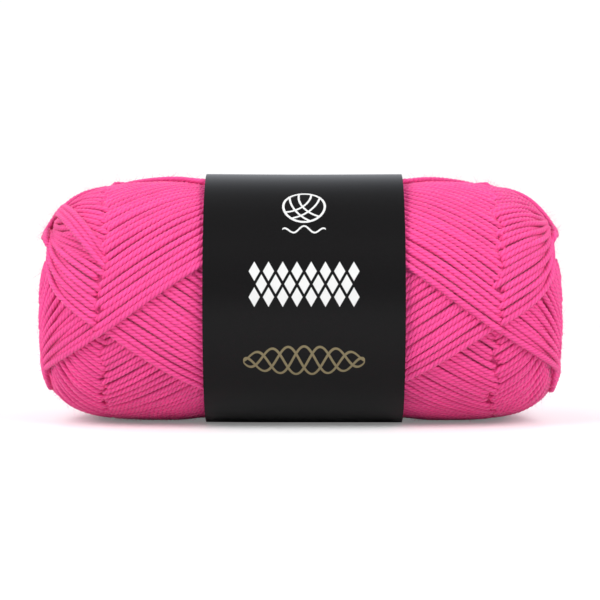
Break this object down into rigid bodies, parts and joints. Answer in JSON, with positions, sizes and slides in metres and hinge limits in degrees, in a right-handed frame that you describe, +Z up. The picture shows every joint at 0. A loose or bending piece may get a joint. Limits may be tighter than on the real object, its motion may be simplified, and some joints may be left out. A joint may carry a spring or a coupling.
{
  "type": "cotton yarn skein",
  "caption": "Pull skein of cotton yarn, machine wound in crossing slanted sheaves, lying on its side in a wide black paper band",
  "frame": {"origin": "centre of the bounding box in X and Y, at the height of the surface the skein rests on", "axes": "+X along the skein's length, +Y from the front to the back, +Z up"},
  "size_m": [0.12, 0.0596, 0.0565],
  "materials": {
    "yarn": "soft cotton with a low sheen",
    "band": "satin black printed paper"
  },
  "bodies": {
    "root": {"yarn": "yarn", "band": "band"}
  },
  "joints": []
}
